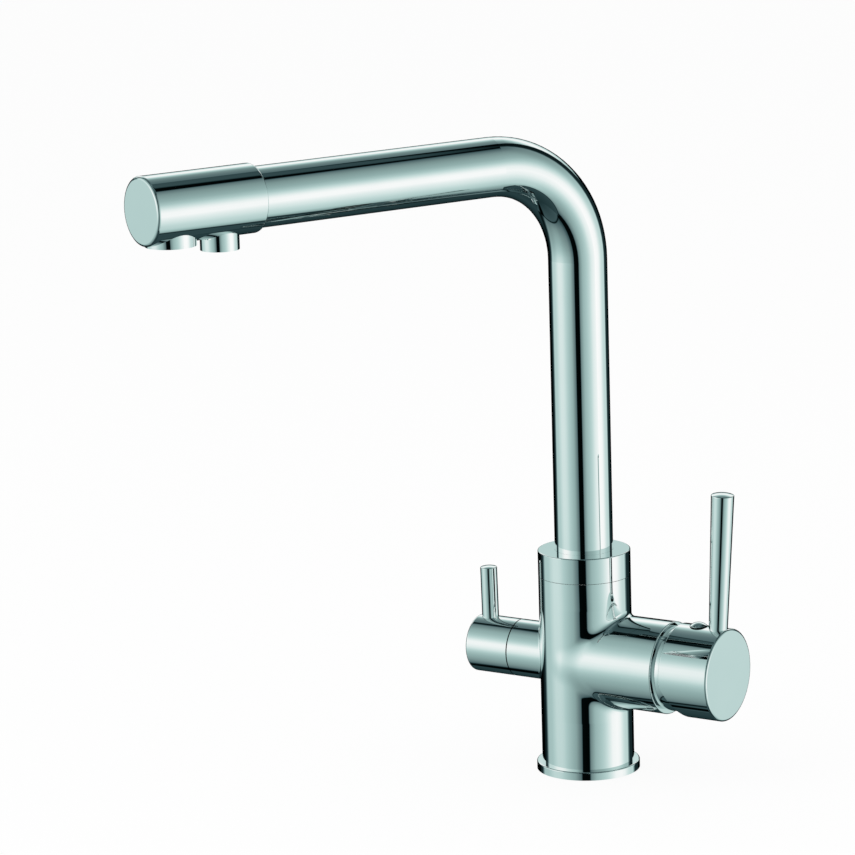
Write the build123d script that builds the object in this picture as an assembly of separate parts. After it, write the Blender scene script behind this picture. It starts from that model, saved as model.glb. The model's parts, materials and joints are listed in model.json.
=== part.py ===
"""Three way filtered water tap: a body with a mixer branch and a filter branch, and a swivel spout."""
import math
import os

from build123d import *

# Frame: +Z up, origin on the body's axis at the worktop, mixer branch +X, filter branch -X, front -Y.

# Body, deck ring and the two branches; the body and its mixer branch are alike in diameter
body_wall = 3.6
body_height = 95.75
body_foot_step = 2.2
deck_ring_lip = 2.6
deck_ring_height = 4.0
deck_ring_round = 0.6
deck_seal_margin = 1.2
deck_seal_inner_margin = 0.9
deck_seal_height = 2.0
branch_height = 55.0
mixer_branch_reach = 47.6
mixer_branch_round = 0.5
mixer_branch_blend = 2.5
filter_branch_wall = 2.8
filter_branch_reach = 36.5
filter_branch_blend = 1.6

# Spout
tube_d = 28.0
tube_wall = 1.5
arm_height = 297.7
bend_radius = 48.7
spout_reach = 234.2
spout_turn = 24.2
collar_height = 12.25
collar_round = 0.45
seam_gap = 0.2

# Outlet head and its two outlets: mixed water in front, filtered water behind it
head_step = 1.8
head_length = 57.0
head_round = 1.4
head_rear_round = 1.0
head_front_wall = 3.5
head_wall = 3.0
head_cavity_land = 2.0
front_channel_wall = 6.8
tube_in_head = 7.0
aerator_boss_d = 23.2
aerator_setback = 14.6
aerator_proud = 1.0
aerator_wall = 1.75
aerator_lip = 1.8
aerator_depth = 6.1
nozzle_boss_d = 17.8
nozzle_setback = 39.7
nozzle_proud = 5.5
nozzle_wall = 1.8
nozzle_depth = 6.5
nozzle_passage_d = 6.4
nozzle_column_wall = 3.2
nozzle_column_roof = 1.3

# Plastic inserts of the two outlets
insert_inset = 0.4
insert_wall = 1.5
insert_seal_height = 1.0
insert_notch_width = 1.5
insert_notch_depth = 1.5
strainer_thickness = 1.2
aerator_hole_d = 1.5
aerator_hole_pitch = 2.1
nozzle_hole_d = 1.3
nozzle_hole_pitch = 1.9

# Filtered water line inside the spout, and its tail into the body
line_d = 8.0
line_wall = 1.25
line_well_depth = 6.2
line_tail_clear = 0.8
line_tail_seal_section = 1.2
line_tail_d = 7.0
line_tail_bore_d = 3.0
line_barb_length = 8.0

# Spout foot, which turns in the top of the body
socket_wall = 5.6
socket_extra_depth = 0.8
foot_wall = 4.54
foot_depth = 16.75
foot_flange_margin = 3.6
foot_flange_height = 2.95
foot_neck_height = 12.0
foot_neck_wall = 2.0
foot_hub_wall = 2.0
foot_hub_height = 6.0
foot_arm_width = 4.0
foot_land = 2.0
o_ring_section = 2.0
o_ring_groove_width = 2.4
o_ring_squeeze_room = 0.05
slide_ring_margin = 1.1
slide_ring_sunk = 0.5
retaining_groove_width = 4.2
retaining_groove_depth = 2.1
retaining_screw_d = 5.0
retaining_screw_tip_d = 3.5
retaining_screw_tip = 3.0

# Mixer handle, its tilt and its lever
handle_length = 25.9
handle_gap = 4.4
handle_round = 1.1
handle_rim_round = 0.5
handle_skirt = 1.5
tilt_range = 25.0
rim_cut_below_axis = 3.0
dome_front = 6.5
dome_wall = 1.5
dome_spigot = 1.5
dome_shoulder = 1.6
lever_setback = 5.2
lever_lean = 3.0
lever_root_d = 9.0
lever_tip_d = 11.0
lever_length = 65.0
lever_tip_crown = 1.0
lever_tip_round = 0.6
lever_sunk = 2.6
lever_thread_d = 6.0
lever_thread_length = 8.5
plug_setback = 15.8
plug_d = 8.4
plug_rise = 2.0
plug_crown = 1.7
plug_sunk = 1.5

# Mixer cartridge
cartridge_d = 34.8
cartridge_wall = 2.35
cartridge_roof = 2.5
cartridge_neck_step = 5.1
cartridge_neck_wall = 1.52
cartridge_neck_above_pivot = 6.2
cartridge_base_height = 7.0
cartridge_base_flange = 3.0
pivot_beyond_shoulder = 7.5
disc_thickness = 4.0
disc_travel_share = 0.5
carrier_height = 3.0
carrier_boss_d = 11.2
carrier_boss_height = 2.8
drive_arm = 13.0
drive_ball_d = 5.6
drive_neck_d = 4.0
ball_clearance = 0.3
stem_width = 8.0
stem_bevel = 0.8
stem_back = 4.0
stem_front = 19.0
pivot_pin_d = 3.0
rotor_web = 4.0
rotor_cup_wall = 1.45
rotor_neck_above_pivot = 5.0
nut_step = 1.2
nut_height = 2.5
nut_notches = 6
nut_notch_width = 4.0
water_way_d = 6.0
filtered_way_d = 4.5
seal_width = 1.5
seal_thickness = 1.8

# Ports in the cartridge's seat and, closer together, in its discs; the mixing pocket is in the moving disc
seat_port_margin = 6.1
seat_port_angle = 63.4
disc_inlet_spacing = 8.4
disc_inlet_rise = 3.9
disc_inlet_d = 4.2
disc_outlet_drop = 4.6
disc_outlet_d = 5.6
mixing_d = 8.2
mixing_length = 3.0
mixing_depth = 2.0

# Filter valve and its knob
valve_seat = 12.0
valve_d = 18.8
valve_flange_step = 1.7
valve_flange_height = 3.0
valve_hex = 17.0
valve_hex_height = 4.6
valve_neck_wall = 2.0
valve_neck_height = 2.0
valve_cage_step = 1.1
valve_cage_wall = 1.3
valve_end_float = 0.3
valve_window_width = 7.0
valve_window_land = 1.0
valve_seal_height = 2.5
valve_seal_width = 2.5
valve_disc_thickness = 3.0
valve_port_d = 4.2
valve_port_offset = 3.9
spindle_d = 8.0
spindle_foot_height = 6.0
spindle_slot_depth = 4.2
spindle_slot_width = 7.0
spindle_end_clear = 6.6
spindle_teeth = 20
spindle_tooth_depth = 0.35
spindle_seal_section = 1.6
spindle_seal_offset = 4.0
knob_gap = 0.6
knob_length = 23.2
knob_end_round = 1.4
knob_wall = 2.7
knob_cavity_room = 2.8
knob_lever_setback = 6.6
knob_lever_lean = 1.0
knob_lever_d = 8.2
knob_lever_length = 24.4
knob_lever_crown = 0.7
knob_lever_round = 0.5
knob_lever_sunk = 2.0
knob_lever_thread_d = 5.0
knob_lever_thread_length = 5.0
knob_screw_d = 4.0
knob_screw_from_end = 4.2

# Screws
set_screw_d = 5.0
socket_across = 2.5
socket_depth = 2.5
handle_screw_length = 8.0
screw_inset = 1.0

# Water ports and fixing holes in the underside (threads are modelled at their core diameter)
port_d = 9.0
hole_mouth = 0.6
hot_port_depth = 13.0
cold_port_depth = 12.5
filtered_port_depth = 12.0
port_circle_d = 22.0
stud_hole_d = 6.8
stud_hole_depth = 12.0
stud_circle_d = 25.0

# Clearances
running_fit = 0.08
seat_fit = 0.03
free_gap = 0.4
thread_gap = 0.1

# Two measures nearer than this are the same when an edge is looked up
same_place = 0.001

# Places that follow from the sizes above
UP = (0, 0, 1)
OUT = (1, 0, 0)
BACK = (-1, 0, 0)
FORWARD = (0, -1, 0)

# Body, sized by the cartridge that its mixer branch holds
nut_outer_d = cartridge_d + 2 * nut_step
body_d = nut_outer_d + 2 * body_wall
body_foot_d = body_d - 2 * body_foot_step
deck_ring_d = body_d + 2 * deck_ring_lip
deck_seal_d = deck_ring_d - 2 * deck_seal_margin
deck_seal_bore_d = body_foot_d + 2 * deck_seal_inner_margin

# Spout foot, collar, tube and head
socket_r = body_d / 2 - socket_wall
foot_d = 2 * (socket_r - running_fit)
foot_bore_d = foot_d - 2 * foot_wall
foot_flange_d = body_d - 2 * foot_flange_margin
slide_ring_d = body_d - 2 * slide_ring_margin
collar_bottom = body_height + seam_gap
collar_top = collar_bottom + collar_height
tube_bottom = collar_bottom + foot_flange_height
tube_bore_d = tube_d - 2 * tube_wall
foot_neck_bore_d = tube_bore_d - 2 * foot_neck_wall
foot_bottom = collar_bottom - foot_depth - slide_ring_sunk
socket_floor = foot_bottom - socket_extra_depth
foot_hub_d = line_tail_d + 2 * foot_hub_wall
well_r = line_tail_d / 2 + running_fit
head_d = tube_d + 2 * head_step
head_rear = spout_reach - head_length
tube_end = head_rear + tube_in_head
front_channel_d = head_d - 2 * front_channel_wall
aerator_at = spout_reach - aerator_setback
aerator_drop = head_d / 2 + aerator_proud
aerator_bore_d = aerator_boss_d - 2 * aerator_wall
aerator_passage_d = aerator_bore_d - 2 * aerator_lip
nozzle_at = spout_reach - nozzle_setback
nozzle_drop = head_d / 2 + nozzle_proud
nozzle_bore_d = nozzle_boss_d - 2 * nozzle_wall
nozzle_column_d = line_d + 2 * nozzle_column_wall
nozzle_column_rise = line_d / 2 + nozzle_column_roof
line_bore_d = line_d - 2 * line_wall
line_bottom = foot_bottom + foot_hub_height
line_end = nozzle_at - nozzle_column_d / 4

# Mixer branch, cartridge and handle, from the cartridge's size outwards
housing_bore_d = cartridge_d - 2 * cartridge_wall
cartridge_neck_d = cartridge_d - 2 * cartridge_neck_step
neck_bore_d = cartridge_neck_d - 2 * cartridge_neck_wall
dome_r = nut_outer_d / 2 + dome_shoulder
handle_bore_r = dome_r + free_gap
handle_d = 2 * (handle_bore_r + handle_skirt)
cartridge_shoulder = cartridge_base_height + 2 * disc_thickness + carrier_height + rotor_web + cartridge_roof
shoulder_at = mixer_branch_reach - dome_spigot - thread_gap - nut_height
cartridge_seat = shoulder_at - cartridge_shoulder
pivot_x = shoulder_at + pivot_beyond_shoulder
pivot = Vector(pivot_x, 0, branch_height)
handle_back = mixer_branch_reach + handle_gap
handle_front = handle_back + handle_length
disc_face = cartridge_seat + cartridge_base_height
disc_top = disc_face + disc_thickness
moving_top = disc_top + disc_thickness
drive_travel = drive_arm * math.sin(math.radians(tilt_range))
cup_d = housing_bore_d - 2 * running_fit
cup_bore_d = cup_d - 2 * rotor_cup_wall
moving_disc_d = cup_bore_d - 2 * max(disc_travel_share, 1 - disc_travel_share) * drive_travel - 2 * free_gap
seal_d = water_way_d + 2 * seal_width
seat_port_r = housing_bore_d / 2 - seat_port_margin
seat_port_y = seat_port_r * math.sin(math.radians(seat_port_angle))
seat_port_rise = seat_port_r * math.cos(math.radians(seat_port_angle))
plug_x = handle_front - plug_setback
lever_x = handle_front - lever_setback

# Filter branch, valve and knob, from the valve's size outwards
valve_flange_d = valve_d + 2 * valve_flange_step
filter_branch_d = valve_flange_d + 2 * filter_branch_wall
valve_cage_d = valve_d - 2 * valve_cage_step
valve_chamber_d = valve_cage_d - 2 * valve_cage_wall
valve_neck_d = spindle_d + 2 * valve_neck_wall
fixed_filter_disc_at = valve_seat + valve_seal_height
moving_filter_disc_at = fixed_filter_disc_at + valve_disc_thickness
spindle_foot_at = moving_filter_disc_at + valve_disc_thickness
valve_chamber_end = spindle_foot_at + spindle_foot_height + valve_end_float
knob_back = filter_branch_reach + knob_gap
knob_front = knob_back + knob_length
knob_cavity_d = filter_branch_d - 2 * knob_wall
knob_cavity_depth = valve_hex_height + valve_neck_height + knob_cavity_room - knob_gap
spline_start = knob_back + knob_cavity_depth
spindle_end = knob_front - spindle_end_clear
spindle_seal_at = valve_chamber_end + spindle_seal_offset
knob_screw_at = spindle_end - knob_screw_from_end
knob_lever_at = knob_front - knob_lever_setback


def rod(diameter, start, direction, length):
    """A solid cylinder from start, along direction."""
    base = Plane(origin=start, z_dir=direction)
    return base * Cylinder(diameter / 2, length, align=(Align.CENTER, Align.CENTER, Align.MIN))


def ring(outer_d, inner_d, start, direction, length):
    """A plain ring, open right through."""
    return rod(outer_d, start, direction, length) - rod(inner_d, start, direction, length)


def on_mixer(reach, y=0.0, rise=0.0):
    """A point on or near the mixer branch's axis."""
    return (reach, y, branch_height + rise)


def on_filter(reach, y=0.0, rise=0.0):
    """A point on or near the filter branch's axis, which runs towards -X."""
    return (-reach, y, branch_height + rise)


def turned(shape):
    """Swings a spout piece, modelled towards the front, to where the spout rests."""
    return Rot(0, 0, -spout_turn) * shape


def around(count, radius, first=0.0):
    """Points spaced evenly on a circle, as (x, y) pairs."""
    for index in range(count):
        angle = math.radians(first + 360.0 * index / count)
        yield radius * math.cos(angle), radius * math.sin(angle)


def edges_at(shape, axis, place, diameter):
    """The full circular edges of one diameter at one place along an axis."""
    circles = shape.edges().filter_by(GeomType.CIRCLE)
    level = {
        Axis.X: lambda e: e.arc_center.X,
        Axis.Y: lambda e: e.arc_center.Y,
        Axis.Z: lambda e: e.arc_center.Z,
    }
    at_place = [e for e in circles if abs(level[axis](e) - place) < same_place]
    return [e for e in at_place if abs(e.radius - diameter / 2) < same_place]


def o_ring(bore_r, centre, direction, section=o_ring_section):
    """A rubber ring that just clears the bore it seals against."""
    radius = bore_r - o_ring_squeeze_room - section / 2
    return Plane(origin=centre, z_dir=direction) * Torus(radius, section / 2)


def hex_socket(across, start, direction, depth):
    """The tool for a hexagon socket."""
    base = Plane(origin=start, z_dir=direction)
    return extrude(base * RegularPolygon(across / 2, 6, major_radius=False), depth)


def set_screw(diameter, tip, direction, length, tip_d=None, tip_length=0.0):
    """A headless screw with a hexagon socket in its outer end and, if asked, a dog point."""
    axis = Vector(*direction)
    shank = rod(diameter, Vector(*tip) + axis * tip_length, direction, length - tip_length)
    if tip_length:
        shank += rod(tip_d, tip, direction, tip_length)
    mouth = Vector(*tip) + axis * (length - socket_depth)
    return shank - hex_socket(socket_across, mouth, direction, socket_depth)


# Body group

port_angles = {"hot": 60.0, "filtered": 180.0, "cold": 300.0}
port_place = {
    name: (port_circle_d / 2 * math.cos(math.radians(a)), port_circle_d / 2 * math.sin(math.radians(a)))
    for name, a in port_angles.items()
}
stud_places = list(around(3, stud_circle_d / 2, 0.0))[1:]


def retaining_level():
    """Height of the screw that holds the spout foot in the body."""
    return (foot_bottom + collar_bottom) / 2


def on_body_side(edge):
    """Whether an edge lies on the round side of the body."""
    points = [edge @ 0, edge @ 0.5, edge @ 1]
    return all(abs(math.hypot(p.X, p.Y) - body_d / 2) < same_place for p in points)


def blended(body, branch, radius):
    """A branch joined to the body, with the corner where their sides cross filled to a radius."""
    before = body.edges()
    joined = body + branch
    return fillet([e for e in joined.edges() - before if on_body_side(e)], radius)


def body_outside():
    """The outside of the body casting, before it is bored."""
    height = body_height - deck_ring_height
    outside = rod(body_foot_d, (0, 0, 0), UP, deck_ring_height)
    outside += rod(body_d, (0, 0, deck_ring_height), UP, height)
    filter_branch = rod(filter_branch_d, on_filter(0), BACK, filter_branch_reach)
    outside = blended(outside, filter_branch, filter_branch_blend)
    mixer_branch = rod(body_d, on_mixer(0), OUT, mixer_branch_reach)
    outside = blended(outside, mixer_branch, mixer_branch_blend)
    return fillet(edges_at(outside, Axis.X, mixer_branch_reach, body_d), mixer_branch_round)


def hole_from_below(place, diameter, depth):
    """A hole in the underside with a countersunk mouth."""
    x, y = place
    mouth = Cone(diameter / 2 + hole_mouth, diameter / 2, hole_mouth)
    return rod(diameter, (x, y, 0), UP, depth) + Pos(x, y, hole_mouth / 2) * mouth


def body_hollows():
    """Everything bored out of the body: sockets, water ways, ports and stud holes."""
    depth = mixer_branch_reach - cartridge_seat
    bores = rod(cartridge_d + 2 * running_fit, on_mixer(cartridge_seat), OUT, depth)
    bores += rod(nut_outer_d + 2 * seat_fit, on_mixer(shoulder_at), OUT, mixer_branch_reach - shoulder_at)

    # Hot and cold rise beside each other and enter the cartridge seat from behind
    for side, name, port_depth in ((1, "hot", hot_port_depth), (-1, "cold", cold_port_depth)):
        inlet_y = side * seat_port_y
        riser_x = port_place[name][0] + water_way_d / 2
        inlet_z = branch_height + seat_port_rise
        bores += hole_from_below(port_place[name], port_d, port_depth)
        bores += rod(water_way_d, (riser_x, inlet_y, port_depth), UP, inlet_z + water_way_d / 2 - port_depth)
        bores += rod(water_way_d, (riser_x, inlet_y, inlet_z), OUT, cartridge_seat - riser_x)

    # Mixed water leaves the seat and rises into the spout socket
    mixed_x = well_r + water_way_d
    mixed_z = branch_height - seat_port_r
    bores += rod(water_way_d, (mixed_x, 0, mixed_z), OUT, cartridge_seat - mixed_x)
    bores += rod(water_way_d, (mixed_x, 0, mixed_z), UP, socket_floor - mixed_z)
    bores += rod(2 * socket_r, (0, 0, socket_floor), UP, body_height - socket_floor)
    bores += rod(slide_ring_d + 2 * seat_fit, (0, 0, body_height - slide_ring_sunk), UP, slide_ring_sunk)

    # Filtered water has its own way: port, valve seat, valve chamber, then the well under the spout's line
    x, y = port_place["filtered"]
    riser_x = x + water_way_d / 2
    bores += hole_from_below((x, y), port_d, filtered_port_depth)
    bores += rod(water_way_d, (riser_x, y, filtered_port_depth), UP, branch_height - filtered_port_depth)
    bores += rod(water_way_d, (riser_x, y, branch_height), BACK, valve_seat + riser_x)
    bores += rod(valve_d + 2 * seat_fit, on_filter(valve_seat), BACK, filter_branch_reach - valve_seat)
    flange_seat = filter_branch_reach - valve_flange_height
    bores += rod(valve_flange_d + 2 * seat_fit, on_filter(flange_seat), BACK, valve_flange_height)
    well_floor = socket_floor - line_well_depth
    way_top = well_floor + filtered_way_d / 2
    bores += rod(filtered_way_d, on_filter(moving_filter_disc_at), UP, way_top - branch_height)
    bores += rod(filtered_way_d, (-moving_filter_disc_at, 0, well_floor), OUT, moving_filter_disc_at)
    bores += rod(2 * well_r, (0, 0, well_floor), UP, line_well_depth)

    for place in stud_places:
        bores += hole_from_below(place, stud_hole_d, stud_hole_depth)

    # Tapped hole at the back for the spout's retaining screw
    tapped_d = retaining_screw_d + 2 * seat_fit
    bores += rod(tapped_d, (0, body_d / 2, retaining_level()), FORWARD, (body_d - socket_r) / 2)
    return bores


def body_casting():
    return body_outside() - body_hollows()


def deck_ring():
    shape = ring(deck_ring_d, body_foot_d + 2 * seat_fit, (0, 0, 0), UP, deck_ring_height)
    shape = fillet(edges_at(shape, Axis.Z, deck_ring_height, deck_ring_d), deck_ring_round)
    return shape - ring(deck_seal_d, deck_seal_bore_d, (0, 0, 0), UP, deck_seal_height)


def deck_seal():
    room = 2 * seat_fit
    return ring(deck_seal_d - room, deck_seal_bore_d + room, (0, 0, 0), UP, deck_seal_height)


def spout_slide_ring():
    base = body_height - slide_ring_sunk
    return ring(slide_ring_d, foot_d + 2 * free_gap, (0, 0, base), UP, slide_ring_sunk + seam_gap)


def spout_retaining_screw():
    tip_radius = foot_d / 2 - retaining_groove_depth + free_gap
    length = body_d / 2 - screw_inset - tip_radius
    tip = (0, tip_radius, retaining_level())
    return set_screw(retaining_screw_d, tip, (0, 1, 0), length, retaining_screw_tip_d, retaining_screw_tip)


# Mixer cartridge, fixed pieces

seat_ports = [
    (seat_port_y, seat_port_rise),
    (-seat_port_y, seat_port_rise),
    (0.0, -seat_port_r),
]
disc_ports = [
    (disc_inlet_spacing / 2, disc_inlet_rise, disc_inlet_d),
    (-disc_inlet_spacing / 2, disc_inlet_rise, disc_inlet_d),
    (0.0, -disc_outlet_drop, disc_outlet_d),
]


def cartridge_base():
    flange = rod(cartridge_d, on_mixer(cartridge_seat), OUT, cartridge_base_flange)
    shape = flange + rod(housing_bore_d - 2 * seat_fit, on_mixer(cartridge_seat), OUT, cartridge_base_height)
    for (y, rise), (disc_y, disc_rise, disc_port_d) in zip(seat_ports, disc_ports):
        seal_top = on_mixer(cartridge_seat + seal_thickness, y, rise)
        mouth = Plane(origin=seal_top, z_dir=OUT) * Circle(water_way_d / 2)
        end = Plane(origin=on_mixer(disc_face, disc_y, disc_rise), z_dir=OUT) * Circle(disc_port_d / 2)
        shape -= loft([mouth, end])
        shape -= rod(seal_d + 2 * seat_fit, on_mixer(cartridge_seat, y, rise), OUT, seal_thickness)
    return shape


def cartridge_seals():
    return [
        ring(seal_d, water_way_d, on_mixer(cartridge_seat, y, rise), OUT, seal_thickness)
        for y, rise in seat_ports
    ]


def cartridge_fixed_disc():
    shape = rod(housing_bore_d - 2 * seat_fit, on_mixer(disc_face), OUT, disc_thickness)
    for y, rise, port_width in disc_ports:
        shape -= rod(port_width, on_mixer(disc_face, y, rise), OUT, disc_thickness)
    return shape


def cartridge_housing():
    start = cartridge_seat + cartridge_base_flange
    neck_end = pivot_x + cartridge_neck_above_pivot
    shape = rod(cartridge_d, on_mixer(start), OUT, shoulder_at - start)
    shape += rod(cartridge_neck_d, on_mixer(shoulder_at), OUT, neck_end - shoulder_at)
    shape -= rod(housing_bore_d, on_mixer(start), OUT, shoulder_at - cartridge_roof - start)
    return shape - rod(neck_bore_d, on_mixer(start), OUT, neck_end - start)


def cartridge_nut():
    shape = ring(nut_outer_d, cartridge_neck_d + free_gap, on_mixer(shoulder_at), OUT, nut_height)
    depth = (nut_outer_d - cartridge_neck_d) / 4
    for y, rise in around(nut_notches, nut_outer_d / 2 - depth):
        angle = math.degrees(math.atan2(rise, y))
        notch = Box(nut_height, 2 * depth, nut_notch_width)
        shape -= Pos(*on_mixer(shoulder_at + nut_height, y, rise)) * Rot(angle, 0, 0) * notch
    return shape


def area(left, right, bottom, top):
    """A rectangle between two places along each direction of a sketch."""
    return Pos((left + right) / 2, (bottom + top) / 2) * Rectangle(right - left, top - bottom)


def mixer_dome():
    """The round cover that the handle's skirt rides over, centred on the tilt pivot."""
    outline = Circle(dome_r)
    wall = area(dome_front - dome_wall, dome_front, 0, dome_r) & outline
    seat = mixer_branch_reach - pivot_x
    wall += (outline - Circle(dome_r - dome_wall)) & area(seat, dome_front, 0, dome_r)
    wall += area(seat - dome_spigot, seat + dome_spigot, nut_outer_d / 2 - dome_wall, nut_outer_d / 2)
    wall -= area(-dome_r, dome_r, -dome_r, (cartridge_neck_d + free_gap) / 2)
    side = Plane(origin=pivot, x_dir=OUT, z_dir=FORWARD)
    return revolve(side * wall, Axis(pivot, OUT))


# Mixer cartridge, pieces that turn with the temperature

def swing_slot(half, back, front, width):
    """Room for a bar that lies along +X through the pivot and dips by the tilt range at its front."""
    tilt = math.radians(tilt_range)
    corner = half * math.tan(tilt / 2)
    slope = math.tan(tilt)
    high = half / math.cos(tilt)
    outline = [
        (-back, -half),
        (-corner, -half),
        (front, -(high + front * slope)),
        (front, half),
        (corner, half),
        (-back, high + back * slope),
    ]
    side = Plane(origin=pivot, x_dir=(1, 0, 0), z_dir=(0, -1, 0))
    face = side * make_face(Polyline(*outline, close=True))
    return extrude(face, width / 2, both=True)


def cartridge_rotor():
    cup_start = disc_top + thread_gap
    web_start = moving_top + carrier_height + free_gap
    roof = shoulder_at - cartridge_roof
    neck_end = pivot_x + rotor_neck_above_pivot
    shape = rod(cup_d, on_mixer(cup_start), OUT, roof - thread_gap - cup_start)
    shape -= rod(cup_bore_d, on_mixer(cup_start), OUT, web_start - cup_start)
    shape += rod(neck_bore_d - 2 * running_fit, on_mixer(web_start), OUT, neck_end - web_start)
    stem_room = stem_width + 2 * free_gap
    stem_swing = math.hypot(stem_back, stem_width / 2) + free_gap
    shape -= swing_slot(stem_room / 2, stem_swing, stem_front, stem_room)
    tail_room = drive_ball_d + 2 * free_gap
    shape -= swing_slot(tail_room / 2, pivot_x - web_start + free_gap, free_gap, tail_room)

    # Slide way for the carrier's boss
    boss_room = carrier_boss_d + 2 * free_gap
    start = web_start - free_gap
    depth = carrier_boss_height + 2 * free_gap
    shape -= Pos(*on_mixer(start + depth / 2, 0, drive_travel / 2)) * Box(depth, boss_room, drive_travel)
    shape -= rod(boss_room, on_mixer(start), OUT, depth)
    shape -= rod(boss_room, on_mixer(start, 0, drive_travel), OUT, depth)
    return shape - pivot_pin_room(0.0)


def pivot_pin_room(clearance):
    span = 2 * neck_bore_d
    return rod(pivot_pin_d + 2 * clearance, (pivot_x, span / 2, branch_height), FORWARD, span)


def cartridge_pivot_pin():
    span = neck_bore_d - 2 * running_fit - 2 * free_gap
    return rod(pivot_pin_d, (pivot_x, span / 2, branch_height), FORWARD, span)


def cartridge_moving_disc():
    offset = -drive_travel * disc_travel_share
    shape = rod(moving_disc_d, on_mixer(disc_top, 0, offset), OUT, disc_thickness)
    middle = on_mixer(disc_top, 0, offset - mixing_length / 2)
    pocket = Plane(origin=middle, x_dir=UP, z_dir=OUT) * SlotCenterToCenter(mixing_length, mixing_d)
    return shape - extrude(pocket, mixing_depth)


def cartridge_disc_carrier():
    offset = -drive_travel * disc_travel_share
    shape = rod(moving_disc_d, on_mixer(moving_top, 0, offset), OUT, carrier_height)
    boss_start = moving_top + carrier_height
    shape += rod(carrier_boss_d, on_mixer(boss_start), OUT, carrier_boss_height)
    pocket_d = drive_ball_d + 2 * ball_clearance
    pocket_floor = pivot_x - drive_arm - drive_ball_d / 2 - free_gap
    top = boss_start + carrier_boss_height
    return shape - rod(pocket_d, on_mixer(pocket_floor), OUT, top - pocket_floor)


# Handle group: what tilts with the lever

TILT_BACK = Rot(0, -tilt_range, 0)


def behind(limit):
    """Everything behind a plane that becomes square to the branch when the handle is fully tilted."""
    size = 4 * handle_d
    return Pos(*pivot) * TILT_BACK * Pos(limit - size / 2, 0, 0) * Box(size, size, size)


def cartridge_stem():
    centre = (stem_front - stem_back) / 2
    bar = Pos(*on_mixer(pivot_x + centre)) * Box(stem_front + stem_back, stem_width, stem_width)
    bar = chamfer(bar.edges().filter_by(Axis.X), stem_bevel)
    tail = rod(drive_neck_d, on_mixer(pivot_x - drive_arm), OUT, drive_arm)
    ball = Pos(*on_mixer(pivot_x - drive_arm)) * Sphere(drive_ball_d / 2)
    return bar + tail + ball - pivot_pin_room(running_fit)


def lever_pin(root, direction, root_d, tip_d, length, crown, sunk, thread_d, thread_length, tip_round):
    """A lever with a crowned tip that screws into its handle; root is where its axis leaves the handle."""
    apex = (0, length + crown)
    side = Polyline(
        apex,
        (0, -sunk - thread_length),
        (thread_d / 2, -sunk - thread_length),
        (thread_d / 2, -sunk),
        (root_d / 2, -sunk),
        (root_d / 2, 0),
        (tip_d / 2, length),
    )
    tip = TangentArc(apex, (tip_d / 2, length), tangent=(1, 0))
    profile = Plane.XZ * make_face(side.edges() + tip.edges())
    pin = revolve(profile, Axis.Z)
    pin = fillet(edges_at(pin, Axis.Z, length, tip_d), tip_round)
    return Plane(origin=root, z_dir=direction) * pin


def lever_room(root, direction, root_d, sunk, thread_d, thread_length, rise):
    """The hole a lever screws into."""
    axis = Vector(*direction).normalized()
    root = Vector(*root)
    room = rod(root_d + 2 * seat_fit, root - axis * sunk, axis, sunk + rise)
    depth = thread_length + free_gap
    return room + rod(thread_d + 2 * seat_fit, root - axis * (sunk + depth), axis, depth)


def mixer_lever_line():
    lean = math.radians(lever_lean)
    return on_mixer(lever_x, 0, handle_d / 2), (math.sin(lean), 0, math.cos(lean))


def mixer_lever():
    root, axis = mixer_lever_line()
    return lever_pin(
        root, axis, lever_root_d, lever_tip_d, lever_length, lever_tip_crown, lever_sunk, lever_thread_d,
        lever_thread_length, lever_tip_round,
    )


def mixer_handle():
    shape = rod(handle_d, on_mixer(handle_back), OUT, handle_length)
    shape = fillet(edges_at(shape, Axis.X, handle_front, handle_d), handle_round)
    shape = fillet(edges_at(shape, Axis.X, handle_back, handle_d), handle_rim_round)

    # Skirt over the dome, opened below the axis so that the dome can pass as the handle tilts
    floor = dome_front + free_gap
    bore = 2 * handle_bore_r
    shape -= rod(bore, on_mixer(handle_back), OUT, pivot_x + floor - handle_back)
    shape -= Pos(*pivot) * Sphere(handle_bore_r) & behind(floor)
    tilt = math.radians(tilt_range)
    rim = (handle_back - pivot_x) * math.cos(tilt) - rim_cut_below_axis * math.sin(tilt)
    shape -= behind(rim)

    # Socket for the stem, hole for its set screw, seat for the plug and hole for the lever
    socket = stem_width + 2 * seat_fit
    length = stem_front + free_gap
    shape -= Pos(pivot_x + length / 2, 0, branch_height) * Box(length, socket, socket)
    screw_room = handle_d / 2
    shape -= rod(set_screw_d + 2 * seat_fit, on_mixer(plug_x), UP, screw_room)
    shape -= rod(plug_d + 2 * seat_fit, on_mixer(plug_x, 0, handle_d / 2 - plug_sunk), UP, handle_d)
    root, axis = mixer_lever_line()
    return shape - lever_room(
        root, axis, lever_root_d, lever_sunk, lever_thread_d, lever_thread_length, lever_sunk
    )


def handle_set_screw():
    return set_screw(set_screw_d, on_mixer(plug_x, 0, stem_width / 2), UP, handle_screw_length)


def index_plug():
    """Round button that hides the set screw, crowned on top."""
    base_rise = handle_d / 2 - plug_sunk
    side = plug_sunk + plug_rise - plug_crown
    crown_r = (plug_d**2 / 4 + plug_crown**2) / (2 * plug_crown)
    shank = rod(plug_d, on_mixer(plug_x, 0, base_rise), UP, side)
    centre = base_rise + side + plug_crown - crown_r
    cap = Pos(*on_mixer(plug_x, 0, centre)) * Sphere(crown_r)
    cap &= rod(plug_d, on_mixer(plug_x, 0, base_rise), UP, side + plug_crown)
    return shank + cap


# Filter valve and knob

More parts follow.
